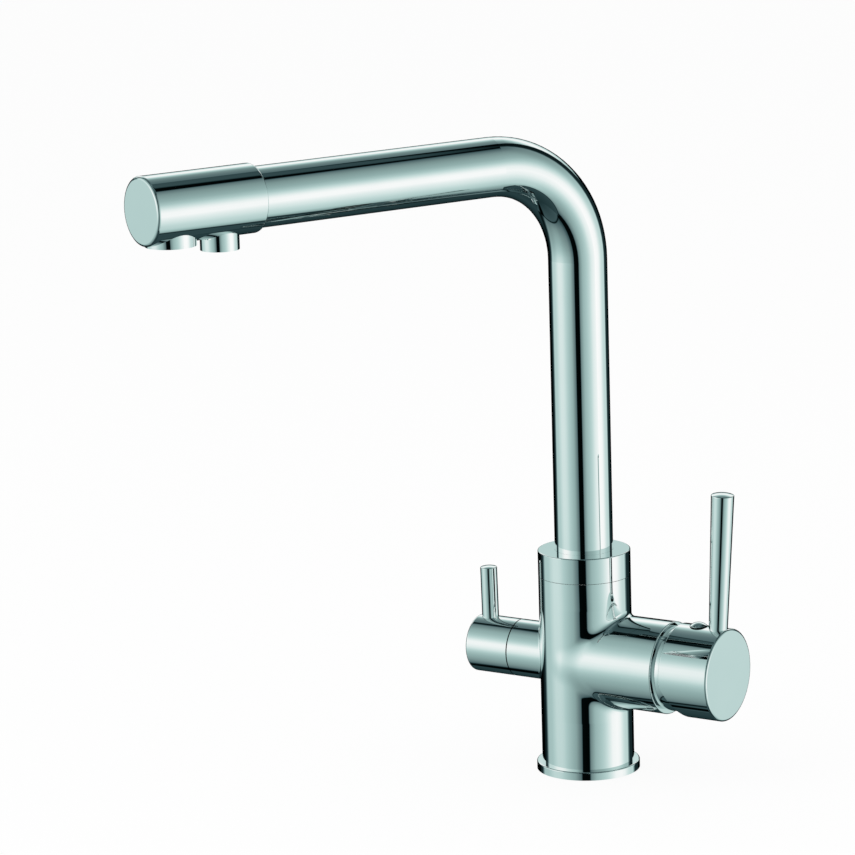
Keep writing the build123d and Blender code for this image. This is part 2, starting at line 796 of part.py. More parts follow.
def filter_valve_body():
    shape = rod(valve_d, on_filter(valve_seat), BACK, filter_branch_reach - valve_seat)
    flange_at = filter_branch_reach - valve_flange_height
    shape += rod(valve_flange_d, on_filter(flange_at), BACK, valve_flange_height)
    face = Plane(origin=on_filter(filter_branch_reach), z_dir=BACK)
    hexagon = face * RegularPolygon(valve_hex / 2, 6, False)
    shape += extrude(hexagon, valve_hex_height)
    neck_at = filter_branch_reach + valve_hex_height
    shape += rod(valve_neck_d, on_filter(neck_at), BACK, valve_neck_height)
    shape -= rod(valve_chamber_d, on_filter(valve_seat), BACK, valve_chamber_end - valve_seat)
    neck_top = neck_at + valve_neck_height
    shape -= rod(spindle_d + 2 * running_fit, on_filter(valve_seat), BACK, neck_top - valve_seat)
    cage_length = valve_chamber_end - valve_seat
    shape -= ring(2 * valve_d, valve_cage_d, on_filter(fixed_filter_disc_at), BACK, cage_length)
    window = valve_chamber_end - moving_filter_disc_at - valve_window_land
    place = Pos(*on_filter(moving_filter_disc_at + window / 2))
    return shape - place * Box(window, valve_window_width, 2 * valve_d)


def filter_seat_seal():
    outer = valve_chamber_d - 2 * seat_fit
    return ring(outer, outer - 2 * valve_seal_width, on_filter(valve_seat), BACK, valve_seal_height)


def ported_disc(at, y, rise):
    shape = rod(valve_chamber_d - 2 * running_fit, on_filter(at), BACK, valve_disc_thickness)
    for side in (1, -1):
        shape -= rod(valve_port_d, on_filter(at, side * y, side * rise), BACK, valve_disc_thickness)
    return shape


def filter_fixed_disc():
    return ported_disc(fixed_filter_disc_at, 0, valve_port_offset)


def filter_moving_disc():
    return ported_disc(moving_filter_disc_at, valve_port_offset, 0)


def filter_spindle():
    """Slotted foot on the moving disc, sealed shank and splined end for the knob."""
    foot_width = valve_chamber_d - 2 * running_fit
    foot_end = spindle_foot_at + spindle_foot_height
    shape = rod(foot_width, on_filter(spindle_foot_at), BACK, spindle_foot_height)
    slot = Box(spindle_slot_depth, 2 * foot_width, spindle_slot_width)
    shape -= Pos(*on_filter(spindle_foot_at + spindle_slot_depth / 2)) * slot
    shape += rod(spindle_d, on_filter(foot_end), BACK, spline_start - foot_end)
    points = []
    for index in range(2 * spindle_teeth):
        radius = spindle_d / 2 - spindle_tooth_depth * (index % 2)
        angle = math.pi * index / spindle_teeth
        points.append((radius * math.cos(angle), radius * math.sin(angle)))
    spline = Plane(origin=on_filter(spline_start), z_dir=BACK) * make_face(Polyline(*points, close=True))
    shape += extrude(spline, spindle_end - spline_start)
    groove_floor = spindle_d + 2 * running_fit - 2 * spindle_seal_section - 2 * o_ring_squeeze_room
    width = spindle_seal_section + free_gap
    return shape - ring(2 * spindle_d, groove_floor, on_filter(spindle_seal_at - width / 2), BACK, width)


def spindle_o_ring():
    return o_ring(spindle_d / 2 + running_fit, on_filter(spindle_seal_at), BACK, spindle_seal_section)


def knob_lever_line():
    lean = math.radians(knob_lever_lean)
    return on_filter(knob_lever_at, 0, filter_branch_d / 2), (-math.sin(lean), 0, math.cos(lean))


def filter_knob():
    shape = rod(filter_branch_d, on_filter(knob_back), BACK, knob_length)
    shape = fillet(edges_at(shape, Axis.X, -knob_front, filter_branch_d), knob_end_round)
    shape -= rod(knob_cavity_d, on_filter(knob_back), BACK, knob_cavity_depth)
    hub_length = spindle_end + free_gap - spline_start
    shape -= rod(spindle_d + 2 * seat_fit, on_filter(spline_start), BACK, hub_length)
    shape -= rod(knob_screw_d + 2 * seat_fit, on_filter(knob_screw_at), (0, 0, -1), filter_branch_d)
    root, axis = knob_lever_line()
    return shape - lever_room(
        root, axis, knob_lever_d, knob_lever_sunk,
        knob_lever_thread_d, knob_lever_thread_length, knob_lever_sunk,
    )


def filter_lever():
    root, axis = knob_lever_line()
    return lever_pin(
        root, axis, knob_lever_d, knob_lever_d, knob_lever_length, knob_lever_crown, knob_lever_sunk,
        knob_lever_thread_d, knob_lever_thread_length, knob_lever_round,
    )


def knob_set_screw():
    length = filter_branch_d / 2 - spindle_d / 2 - screw_inset
    return set_screw(knob_screw_d, on_filter(knob_screw_at, 0, -spindle_d / 2), (0, 0, -1), length)


# Spout group, modelled towards the front and then turned to rest

def on_arm(reach, rise=0.0):
    """A point on or straight above the arm's axis, before the spout is turned."""
    return (0, -reach, arm_height + rise)


def pipe(outer_d, inner_d, bottom, end):
    """A riser, one quarter bend and a level arm; all the spout's pipes share the bend's centre line."""
    bend_z = arm_height - bend_radius
    riser = ring(outer_d, inner_d, (0, 0, bottom), UP, bend_z - bottom)
    section = Plane.XY.offset(bend_z) * (Circle(outer_d / 2) - Circle(inner_d / 2))
    elbow = revolve(section, Axis((0, -bend_radius, bend_z), (1, 0, 0)), revolution_arc=90)
    arm = ring(outer_d, inner_d, (0, -bend_radius, arm_height), FORWARD, end - bend_radius)
    return riser + elbow + arm


def spout_foot():
    height = collar_bottom - foot_bottom
    shape = ring(foot_d, foot_bore_d, (0, 0, foot_bottom), UP, height)
    shape += rod(foot_flange_d, (0, 0, collar_bottom), UP, foot_flange_height)
    shape += rod(tube_bore_d - 2 * seat_fit, (0, 0, tube_bottom), UP, foot_neck_height)
    shape -= rod(foot_neck_bore_d, (0, 0, foot_bottom), UP, height + foot_flange_height + foot_neck_height)
    groove_base = (0, 0, retaining_level() - retaining_groove_width / 2)
    floor_d = foot_d - 2 * retaining_groove_depth
    shape -= ring(2 * foot_d, floor_d, groove_base, UP, retaining_groove_width)
    for level in foot_seal_levels():
        floor_d = 2 * (socket_r - o_ring_squeeze_room - o_ring_section)
        base = (0, 0, level - o_ring_groove_width / 2)
        shape -= ring(2 * foot_d, floor_d, base, UP, o_ring_groove_width)
    bar = Box((foot_bore_d + foot_d) / 2, foot_arm_width, foot_hub_height)
    shape += Pos(0, 0, foot_bottom + foot_hub_height / 2) * bar
    shape += rod(foot_hub_d, (0, 0, foot_bottom), UP, foot_hub_height)
    return shape - rod(line_tail_d + 2 * seat_fit, (0, 0, foot_bottom), UP, foot_hub_height)


def foot_seal_levels():
    """One ring below and one above the retaining groove."""
    spacing = (retaining_groove_width + o_ring_groove_width) / 2 + foot_land
    return retaining_level() - spacing, retaining_level() + spacing


def spout_o_rings():
    return [o_ring(socket_r, (0, 0, level), UP) for level in foot_seal_levels()]


def swivel_collar():
    shape = rod(body_d, (0, 0, collar_bottom), UP, collar_height)
    shape = fillet(edges_at(shape, Axis.Z, collar_top, body_d), collar_round)
    shape -= rod(foot_flange_d + 2 * seat_fit, (0, 0, collar_bottom), UP, foot_flange_height)
    return shape - rod(tube_d + 2 * seat_fit, (0, 0, collar_bottom), UP, collar_height)


def spout_tube():
    return turned(pipe(tube_d, tube_bore_d, tube_bottom, tube_end))


def filtered_water_line():
    return turned(pipe(line_d, line_bore_d, line_bottom, line_end))


def filtered_water_tail():
    """The spigot that carries filtered water from the well in the body into the line."""
    bottom = socket_floor - line_well_depth + line_tail_clear
    shape = rod(line_tail_d, (0, 0, bottom), UP, line_bottom - bottom)
    shape += rod(line_bore_d - 2 * seat_fit, (0, 0, line_bottom), UP, line_barb_length)
    shape -= rod(line_tail_bore_d, (0, 0, bottom), UP, line_bottom + line_barb_length - bottom)
    floor_d = 2 * (well_r - o_ring_squeeze_room - line_tail_seal_section)
    width = line_tail_seal_section + free_gap
    return shape - ring(2 * line_tail_d, floor_d, (0, 0, tail_seal_level() - width / 2), UP, width)


def tail_seal_level():
    return socket_floor - line_well_depth / 2


def tail_o_ring():
    return o_ring(well_r, (0, 0, tail_seal_level()), UP, line_tail_seal_section)


def outlet_head():
    shape = rod(head_d, on_arm(head_rear), FORWARD, head_length)
    shape = fillet(edges_at(shape, Axis.Y, -spout_reach, head_d), head_round)
    shape = fillet(edges_at(shape, Axis.Y, -head_rear, head_d), head_rear_round)
    aerator_mouth = on_arm(aerator_at, -aerator_drop)
    nozzle_mouth = on_arm(nozzle_at, -nozzle_drop)
    shape += rod(aerator_boss_d, aerator_mouth, UP, aerator_drop)
    shape += rod(nozzle_boss_d, nozzle_mouth, UP, nozzle_drop)

    # Socket for the tube, cavity that carries mixed water past the nozzle, channel over the aerator
    cavity_d = head_d - 2 * head_wall
    cavity_end = nozzle_at + nozzle_boss_d / 2 + head_cavity_land
    shape -= rod(tube_d + 2 * seat_fit, on_arm(head_rear), FORWARD, tube_in_head)
    shape -= rod(cavity_d, on_arm(tube_end), FORWARD, cavity_end - tube_end)
    shape -= rod(front_channel_d, on_arm(cavity_end), FORWARD, spout_reach - head_front_wall - cavity_end)
    shape -= rod(aerator_passage_d, aerator_mouth, UP, aerator_drop)
    shape -= rod(aerator_bore_d, aerator_mouth, UP, aerator_depth)

    # Column that takes the end of the filtered water line
    column_drop = (cavity_d + head_wall) / 2
    shape += rod(nozzle_column_d, on_arm(nozzle_at, -column_drop), UP, column_drop + nozzle_column_rise)
    line_mouth = nozzle_at - nozzle_column_d
    shape -= rod(line_d + 2 * seat_fit, on_arm(line_mouth), FORWARD, line_end - line_mouth)
    shape -= rod(nozzle_passage_d, on_arm(line_end), FORWARD, nozzle_at - line_end)
    shape -= rod(nozzle_passage_d, nozzle_mouth, UP, nozzle_drop)
    shape -= rod(nozzle_bore_d, nozzle_mouth, UP, nozzle_depth)
    return turned(shape)


def strainer(diameter, thickness, hole_d, pitch, place):
    """A round plate with a hexagonal field of holes."""
    shape = rod(diameter, place, UP, thickness)
    limit = diameter / 2 - hole_d
    rows = int(diameter / pitch) + 1
    for row in range(-rows, rows + 1):
        for column in range(-rows, rows + 1):
            x = pitch * (column + 0.5 * (row % 2))
            y = pitch * row * math.sqrt(3) / 2
            if math.hypot(x, y) <= limit:
                shape -= rod(hole_d, (place[0] + x, place[1] + y, place[2]), UP, thickness)
    return shape


def insert_shell(bore_d, depth, reach, drop):
    """The plastic sleeve that an outlet's parts sit in, notched below for its key."""
    bottom = arm_height - drop + insert_inset
    height = depth - insert_inset - insert_seal_height
    outer = bore_d - 2 * seat_fit
    shape = ring(outer, outer - 2 * insert_wall, (0, -reach, bottom), UP, height)
    notch = Box(2 * outer, insert_notch_width, 2 * insert_notch_depth)
    for angle in (0, 90):
        shape -= Pos(0, -reach, bottom) * Rot(0, 0, angle + 45) * notch
    return shape


def outlet_seal(bore_d, depth, reach, drop):
    top = arm_height - drop + depth
    outer = bore_d - 2 * seat_fit
    return ring(outer, outer - 2 * insert_wall, (0, -reach, top - insert_seal_height), UP, insert_seal_height)


def aerator_shell():
    return turned(insert_shell(aerator_bore_d, aerator_depth, aerator_at, aerator_drop))


def aerator_seal():
    return turned(outlet_seal(aerator_bore_d, aerator_depth, aerator_at, aerator_drop))


def outlet_strainer(bore_d, reach, drop, hole_d, pitch):
    inner = bore_d - 2 * seat_fit - 2 * insert_wall
    bottom = arm_height - drop + insert_inset + 2 * insert_wall
    return turned(strainer(inner - 2 * seat_fit, strainer_thickness, hole_d, pitch, (0, -reach, bottom)))


def aerator_screen():
    return outlet_strainer(aerator_bore_d, aerator_at, aerator_drop, aerator_hole_d, aerator_hole_pitch)


def filter_outlet_shell():
    return turned(insert_shell(nozzle_bore_d, nozzle_depth, nozzle_at, nozzle_drop))


def filter_outlet_seal():
    return turned(outlet_seal(nozzle_bore_d, nozzle_depth, nozzle_at, nozzle_drop))


def filter_outlet_strainer():
    return outlet_strainer(nozzle_bore_d, nozzle_at, nozzle_drop, nozzle_hole_d, nozzle_hole_pitch)


nodes = [
    body_casting, deck_ring, deck_seal, spout_slide_ring, spout_retaining_screw,
    cartridge_base, cartridge_seals, cartridge_fixed_disc, cartridge_housing, cartridge_nut, mixer_dome,
    cartridge_rotor, cartridge_pivot_pin, cartridge_moving_disc, cartridge_disc_carrier,
    cartridge_stem, mixer_handle, mixer_lever, handle_set_screw, index_plug,
    filter_valve_body, filter_seat_seal, filter_fixed_disc, filter_moving_disc,
    filter_spindle, spindle_o_ring,
    filter_knob, filter_lever, knob_set_screw,
    spout_foot, spout_o_rings, swivel_collar, spout_tube,
    filtered_water_line, filtered_water_tail, tail_o_ring,
    outlet_head, aerator_shell, aerator_screen, aerator_seal,
    filter_outlet_shell, filter_outlet_strainer, filter_outlet_seal,
]

os.makedirs("parts", exist_ok=True)
for make in nodes:
    made = make()
    solids = made if isinstance(made, list) else [made]
    export_step(Compound(children=solids) if len(solids) > 1 else solids[0], f"parts/{make.__name__}.step")
    print(make.__name__, round(sum(solid.volume for solid in solids)))
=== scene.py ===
import json
import math

import bmesh
import bpy
from mathutils import Matrix, Vector


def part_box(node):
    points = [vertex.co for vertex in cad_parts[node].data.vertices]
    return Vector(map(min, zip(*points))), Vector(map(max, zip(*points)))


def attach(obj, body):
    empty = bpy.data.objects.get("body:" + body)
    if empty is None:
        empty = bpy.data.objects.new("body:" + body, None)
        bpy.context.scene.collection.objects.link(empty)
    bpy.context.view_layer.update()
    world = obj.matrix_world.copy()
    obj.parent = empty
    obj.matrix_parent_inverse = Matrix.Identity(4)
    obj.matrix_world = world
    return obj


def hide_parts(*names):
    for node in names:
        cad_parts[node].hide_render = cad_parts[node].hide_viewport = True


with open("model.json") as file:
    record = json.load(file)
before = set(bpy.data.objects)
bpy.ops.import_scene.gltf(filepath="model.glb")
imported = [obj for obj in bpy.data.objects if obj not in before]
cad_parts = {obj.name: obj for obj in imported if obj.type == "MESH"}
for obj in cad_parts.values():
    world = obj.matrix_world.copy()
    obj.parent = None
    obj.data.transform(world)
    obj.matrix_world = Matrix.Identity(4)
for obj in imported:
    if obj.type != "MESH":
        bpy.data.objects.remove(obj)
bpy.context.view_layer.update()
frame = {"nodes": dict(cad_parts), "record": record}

scene = bpy.context.scene
cad = frame["nodes"]


def centre(node):
    low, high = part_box(node)
    return (Vector(low) + Vector(high)) / 2


def half_size(node):
    low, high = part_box(node)
    return (Vector(high) - Vector(low)) / 2


# ---------------------------------------------------------------- camera
# The photograph's view: the camera's direction as seen from the tap, in degrees, and its place in metres
CAMERA_AZIMUTH = -57.0633
CAMERA_ELEVATION = 12.0690
CAMERA_ROLL = -1.6836
CAMERA_PLACE = (1.03880, -1.73792, 0.60225)
CAMERA_LENS = 183.25
CAMERA_SENSOR = 36.0
CAMERA_CLIP = (0.05, 200.0)


def make_camera():
    data = bpy.data.cameras.new("view")
    data.sensor_fit = "HORIZONTAL"
    data.sensor_width = CAMERA_SENSOR
    data.lens = CAMERA_LENS
    data.clip_start, data.clip_end = CAMERA_CLIP
    camera = bpy.data.objects.new("view", data)
    scene.collection.objects.link(camera)
    turned = Matrix.Rotation(math.radians(CAMERA_AZIMUTH + 90.0), 4, "Z")
    raised = Matrix.Rotation(math.radians(90.0 - CAMERA_ELEVATION), 4, "X")
    rolled = Matrix.Rotation(math.radians(CAMERA_ROLL), 4, "Z")
    camera.matrix_world = Matrix.Translation(CAMERA_PLACE) @ turned @ raised @ rolled
    scene.camera = camera


# ---------------------------------------------------------------- node trees
WHITE = (1.0, 1.0, 1.0, 1.0)
NOISE_START, NOISE_END = 0.35, 0.65


class Tree:
    """An emptied node tree, with short ways to add nodes and to feed their sockets."""

    def __init__(self, owner):
        owner.use_nodes = True
        owner.node_tree.nodes.clear()
        self.nodes = owner.node_tree.nodes
        self.links = owner.node_tree.links

    def feed(self, socket, source):
        """Links an output to a socket, or sets the socket to a plain value."""
        if isinstance(source, bpy.types.NodeSocket):
            self.links.new(source, socket)
        else:
            socket.default_value = source

    def add(self, kind, sockets=None, **properties):
        """A new node with its properties set and its sockets fed."""
        node = self.nodes.new("ShaderNode" + kind)
        for name, value in properties.items():
            setattr(node, name, value)
        for name, source in (sockets or {}).items():
            self.feed(node.inputs[name], source)
        return node

    def noise(self, scale, detail=2.0, rough=0.5, stretch=None):
        """A noise in object coordinates, which are metres on every node here."""
        place = self.add("TexCoord").outputs["Object"]
        if stretch:
            place = self.add("Mapping", {"Vector": place, "Scale": stretch}).outputs[0]
        sockets = {"Vector": place, "Scale": scale, "Detail": detail, "Roughness": rough}
        return self.add("TexNoise", sockets).outputs["Fac"]

    def spread(self, source, low, high, start=NOISE_START, end=NOISE_END):
        """Maps start..end to low..high."""
        sockets = {"Value": source, "From Min": start, "From Max": end, "To Min": low, "To Max": high}
        return self.add("MapRange", sockets).outputs[0]

    def ramp(self, source, rows):
        """A colour ramp through rows of (position, colour), in which one number stands for a grey."""
        node = self.add("ValToRGB", {0: source})
        stops = node.color_ramp.elements
        for place, _ in rows[1:-1]:
            stops.new(place)
        for stop, (place, tone) in zip(stops, rows):
            grey = isinstance(tone, float)
            stop.position = place
            stop.color = (tone, tone, tone, 1.0) if grey else (*tone, 1.0)
        return node.outputs[0]

    def tint(self, source, first, second):
        """Blends two colours by a noise."""
        return self.ramp(source, [(NOISE_START, first), (NOISE_END, second)])

    def calc(self, operation, *sources):
        return self.add("Math", dict(enumerate(sources)), operation=operation).outputs[0]

    # Each of these gives the first source where the mask is 0, and the second where it is 1
    def mix_numbers(self, mask, first, second):
        return self.add("Mix", {0: mask, 2: first, 3: second}, data_type="FLOAT").outputs[0]

    def mix_colors(self, mask, first, second):
        return self.add("Mix", {0: mask, 6: first, 7: second}, data_type="RGBA").outputs[2]

    def mix_shaders(self, mask, first, second):
        return self.add("MixShader", {0: mask, 1: first, 2: second}).outputs[0]


class Finish(Tree):
    """A material made of one Principled shader, and the nodes that detail it."""

    def __init__(self, name, color, metallic, roughness):
        self.material = bpy.data.materials.new(name)
        super().__init__(self.material)
        self.out = self.add("OutputMaterial")
        sockets = {"Base Color": (*color, 1.0), "Metallic": metallic, "Roughness": roughness}
        self.shader = self.add("BsdfPrincipled", sockets)
        self.feed(self.out.inputs[0], self.shader.outputs[0])

    def detail(self, name, source):
        self.feed(self.shader.inputs[name], source)

    def vary(self, source, tones, rough):
        """Lets one noise move the colour between two tones and the roughness between two levels."""
        self.detail("Base Color", self.tint(source, *tones))
        self.detail("Roughness", self.spread(source, *rough))

    def bump(self, source, strength, distance):
        node = self.add("Bump", {"Strength": strength, "Distance": distance, "Height": source})
        self.detail("Normal", node.outputs[0])


# ---------------------------------------------------------------- finishes
GRAIN_DEPTH = 0.00005
WAVE_DEPTH = 0.0001

# Painted shade round the plug's foot: how far past the handle's surface it reaches, its soft edge and its
# dark tone
PLUG_SHADE_LINE = 0.00058
PLUG_SHADE_EDGE = 0.00005
PLUG_SHADE_TONE = (0.012, 0.014, 0.014, 1.0)


def chrome(name):
    made = Finish(name, (0.95, 0.965, 0.96), metallic=1.0, roughness=0.012)
    film = made.noise(38.0, detail=4.0, rough=0.55)
    made.detail("Base Color", made.tint(film, (0.94, 0.955, 0.95), (0.96, 0.97, 0.965)))
    smear = made.noise(95.0, detail=6.0, rough=0.6, stretch=(1.0, 1.0, 0.35))
    made.detail("Roughness", made.spread(smear, 0.004, 0.016))
    made.bump(made.noise(60.0, detail=1.0, rough=0.4), strength=0.03, distance=WAVE_DEPTH)
    return made


def chrome_with_seat_shade(name):
    """The plug's chrome, with a painted line of shade round its foot where it meets its seat in the top of
    the handle.
    """
    made = chrome(name)
    place = made.add("TexCoord").outputs["Object"]
    away = made.add("VectorMath", {0: place, 1: centre("mixer_handle")}, operation="SUBTRACT")
    across = made.add("VectorMath", {0: away.outputs[0], 1: (0.0, 1.0, 1.0)}, operation="MULTIPLY")
    reach = made.add("VectorMath", {0: across.outputs[0]}, operation="LENGTH").outputs["Value"]
    end = half_size("mixer_handle").z + PLUG_SHADE_LINE
    seat_shade_mask = made.spread(reach, 1.0, 0.0, end - PLUG_SHADE_EDGE, end)
    plain_tone = made.shader.inputs["Base Color"].links[0].from_socket
    made.detail("Base Color", made.mix_colors(seat_shade_mask, plain_tone, PLUG_SHADE_TONE))
    return made


def brass():
    made = Finish("turned_brass", (0.72, 0.56, 0.30), metallic=1.0, roughness=0.28)
    tones = ((0.66, 0.50, 0.26), (0.76, 0.60, 0.33))
    made.vary(made.noise(140.0, detail=5.0), tones, rough=(0.2, 0.38))
    made.bump(made.noise(900.0, stretch=(0.1, 0.1, 1.0)), strength=0.25, distance=WAVE_DEPTH)
    return made


def steel():
    made = Finish("machined_steel", (0.56, 0.57, 0.58), metallic=1.0, roughness=0.25)
    tones = ((0.50, 0.51, 0.52), (0.61, 0.62, 0.63))
    made.vary(made.noise(260.0, detail=4.0), tones, rough=(0.2, 0.35))
    made.bump(made.noise(2200.0), strength=0.15, distance=GRAIN_DEPTH)
    return made


def plastic(name, tones, roughness, grain):
    made = Finish(name, tones[0], metallic=0.0, roughness=roughness)
    made.vary(made.noise(85.0, detail=4.0), tones, rough=(roughness * 0.85, roughness * 1.15))
    made.bump(made.noise(grain, detail=3.0), strength=0.12, distance=GRAIN_DEPTH)
    return made


def rubber():
    made = Finish("moulded_rubber", (0.03, 0.03, 0.03), metallic=0.0, roughness=0.6)
    tones = ((0.024, 0.024, 0.024), (0.04, 0.04, 0.041))
    made.vary(made.noise(420.0, detail=4.0), tones, rough=(0.5, 0.68))
    made.bump(made.noise(2600.0, detail=3.0), strength=0.2, distance=GRAIN_DEPTH)
    return made


def ceramic():
    made = Finish("lapped_ceramic", (0.93, 0.92, 0.88), metallic=0.0, roughness=0.18)
    tones = ((0.91, 0.90, 0.86), (0.95, 0.94, 0.90))
    made.vary(made.noise(600.0, detail=5.0), tones, rough=(0.12, 0.24))
    return made


# ---------------------------------------------------------------- studio
MATT_LEVEL = 0.75
FLOOR_SIZE = 30.0
FLOOR_STEPS = 8
FLOOR_DROP = 0.0002
FLOOR_GLOW = 0.92
LAMP_AIM = (0.0, -0.05, 0.15)


def tent_level(tree):
    """The grey level of the light tent that polished metal mirrors: a light wall to the left and one to the
    right with a dark slit between them at the front, a dark back with a light band over it, a dark roof and a
    dark table, with black seams where the roof's corners come down to the walls. Directions are in degrees,
    turned from +X towards +Y and raised from the horizon."""
    axes = tree.add("SeparateXYZ", {0: tree.add("TexCoord").outputs["Generated"]}).outputs
    turned = tree.spread(tree.calc("ARCTAN2", axes["Y"], axes["X"]), 0.0, 1.0, -math.pi, math.pi)
    raised = tree.spread(tree.calc("ARCSINE", axes["Z"]), 0.0, 1.0, -math.pi / 2, math.pi / 2)

    def round_ramp(rows):
        return tree.ramp(turned, [((degrees + 180.0) / 360.0, tone) for degrees, tone in rows])

    def height_ramp(rows):
        return tree.ramp(raised, [((degrees + 90.0) / 180.0, tone) for degrees, tone in rows])

    wall = round_ramp([
        (-180, 0.3), (-177, 0.62), (-175.5, 0.76), (-160, 0.8), (-150, 0.92), (-142, 1.0), (-130, 1.0),
        (-122, 0.95), (-112, 0.81), (-101, 0.68), (-89, 0.54), (-80, 0.3), (-74.8, 0.2), (-73.5, 0.0),
        (-55.5, 0.0), (-54.3, 0.22), (-49, 0.32), (-41, 0.47), (-30, 0.56), (-18, 0.67), (-6, 0.83),
        (5, 0.97), (20, 1.0), (30, 0.95), (42, 0.78), (50, 0.71), (62, 0.69), (66, 0.1), (70, 0.02),
        (173, 0.02), (177, 0.1), (180, 0.3)])
    right_wall = height_ramp([
        (-90, 0.0), (-57.2, 0.0), (-56, 0.48), (-50, 0.64), (-42, 0.69), (-33, 0.8), (-23, 0.9), (-14, 1.0),
        (-4, 1.0), (3, 0.93), (11, 0.78), (20, 0.59), (29, 0.45), (38, 0.37), (46, 0.3), (52, 0.21),
        (54.6, 0.15), (55.3, 0.0), (90, 0.0)])
    right_foot = height_ramp([(-90, 0.03), (-65, 0.05), (-59, 0.06), (-57.5, 0.001), (90, 0.001)])
    right_roof = height_ramp([(-90, 0.0), (56.4, 0.0), (57.4, 0.06), (62, 0.075), (70, 0.1), (90, 0.2)])
    left_wall = height_ramp([
        (-90, 0.0), (-58.6, 0.0), (-57.5, 0.19), (-50, 0.29), (-42, 0.37), (-33, 0.45), (-24, 0.56),
        (-16, 0.7), (-10, 0.84), (-3, 0.94), (5, 1.0), (13, 0.99), (20, 0.87), (28, 0.69), (36, 0.55),
        (44, 0.46), (52, 0.4), (56.5, 0.35), (59, 0.27), (59.8, 0.0), (90, 0.0)])
    left_ends = height_ramp([
        (-90, 0.03), (-65, 0.08), (-61, 0.09), (-59.5, 0.0015), (61, 0.0015), (62, 0.09), (70, 0.12),
        (90, 0.2)])
    back = height_ramp([
        (-90, 0.03), (-58, 0.05), (-38, 0.03), (-20, 0.0), (8.5, 0.0), (11, 0.6), (14, 0.65), (20, 0.9),
        (28, 1.0), (34, 0.82), (39, 0.55), (45, 0.29), (50, 0.22), (55, 0.165), (60, 0.13), (75, 0.12),
        (90, 0.2)])
    is_left = round_ramp([(-180, 1.0), (-65.1, 1.0), (-64.9, 0.0), (120, 0.0), (120.1, 1.0), (180, 1.0)])
    is_back = round_ramp([(-180, 0.0), (86, 0.0), (88, 1.0), (163, 1.0), (166, 0.0), (180, 0.0)])
    off_seam = round_ramp([
        (-180, 0.0), (-173, 0.0), (-168, 1.0), (32, 1.0), (36, 0.0), (51, 0.0), (59, 1.0), (168, 1.0),
        (174, 0.0), (180, 0.0)])
    right = tree.calc("ADD", tree.calc("MULTIPLY", wall, right_wall), right_foot)
    right = tree.calc("ADD", right, tree.calc("MULTIPLY", off_seam, right_roof))
    left = tree.calc("MULTIPLY", wall, left_wall)
    left = tree.calc("ADD", left, tree.calc("MULTIPLY", off_seam, left_ends))
    return tree.mix_numbers(is_back, tree.mix_numbers(is_left, right, left), back)


def make_world():
    """White for the camera and through glass, a plain level for what is matt, the tent for what mirrors."""
    world = bpy.data.worlds.new("studio")
    scene.world = world
    tree = Tree(world)
    out = tree.add("OutputWorld")
    # The tent's cloth gives its half tones a cool green cast, and none to its whites
    cloth = tree.ramp(tent_level(tree), [
        (0.0, (0.0, 0.0005, 0.0005)), (0.04, (0.016, 0.038, 0.042)), (0.11, (0.06, 0.11, 0.118)),
        (0.2, (0.13, 0.2, 0.205)), (0.3, (0.20, 0.30, 0.295)), (0.43, (0.29, 0.43, 0.42)),
        (0.6, (0.43, 0.6, 0.585)), (0.75, (0.6, 0.75, 0.735)), (0.87, (0.78, 0.87, 0.86)),
        (1.0, (1.0, 1.0, 1.0))])
    mirrored = tree.add("Background", {"Color": cloth}).outputs[0]
    matt = tree.add("Background", {"Color": WHITE, "Strength": MATT_LEVEL}).outputs[0]
    white = tree.add("Background", {"Color": WHITE}).outputs[0]
    path = tree.add("LightPath").outputs
    lit = tree.mix_shaders(path["Is Glossy Ray"], matt, mirrored)
    through = tree.calc("MAXIMUM", path["Is Camera Ray"], path["Is Transmission Ray"])
    tree.feed(out.inputs[0], tree.mix_shaders(through, lit, white))


def make_floor():
    """A pale floor that is nearly white for the camera and keeps some of the tap's shadow."""
    mesh = bpy.data.meshes.new("floor")
    form = bmesh.new()
    bmesh.ops.create_grid(form, x_segments=FLOOR_STEPS, y_segments=FLOOR_STEPS, size=FLOOR_SIZE)
    form.to_mesh(mesh)
    form.free()
    floor = bpy.data.objects.new("floor", mesh)
    scene.collection.objects.link(floor)
    floor.location.z = -FLOOR_DROP
    made = Finish("floor", (0.95, 0.95, 0.95), metallic=0.0, roughness=0.9)
    glow = made.add("Emission", {"Color": WHITE}).outputs[0]
    share = made.calc("MULTIPLY", made.add("LightPath").outputs["Is Camera Ray"], FLOOR_GLOW)
    made.feed(made.out.inputs[0], made.mix_shaders(share, made.shader.outputs[0], glow))
    mesh.materials.append(made.material)
    floor.visible_glossy = False


def make_lamp(name, size, power, place):
    """A soft square lamp that metal doesn't mirror, because the tent stands for the studio there."""
    data = bpy.data.lights.new(name, "AREA")
    data.shape = "SQUARE"
    data.size = size
    data.energy = power
    lamp = bpy.data.objects.new(name, data)
    scene.collection.objects.link(lamp)
    lamp.location = place
    lamp.rotation_euler = (Vector(LAMP_AIM) - Vector(place)).to_track_quat("-Z", "Y").to_euler()
    lamp.visible_glossy = False
    lamp.visible_camera = False


# ---------------------------------------------------------------- body casting
# The casting's mixer branch runs softly into the body at the front, where the two are polished as one.
# Lengths are in metres, and a depth is how far a point lies in front of the body's axis.
BODY_R = half_size("swivel_collar").x
BRANCH_Z = centre("mixer_handle").z
# The blend's width at the sides and at the front, and the depths between which it narrows
BLEND_SIDE = 0.0048
BLEND_FRONT = 0.0022
NARROWING_DEPTHS = (0.0185, 0.0222)
# How fast the branch falls away to the left of the body's axis, per metre
BRANCH_FADE = 60.0
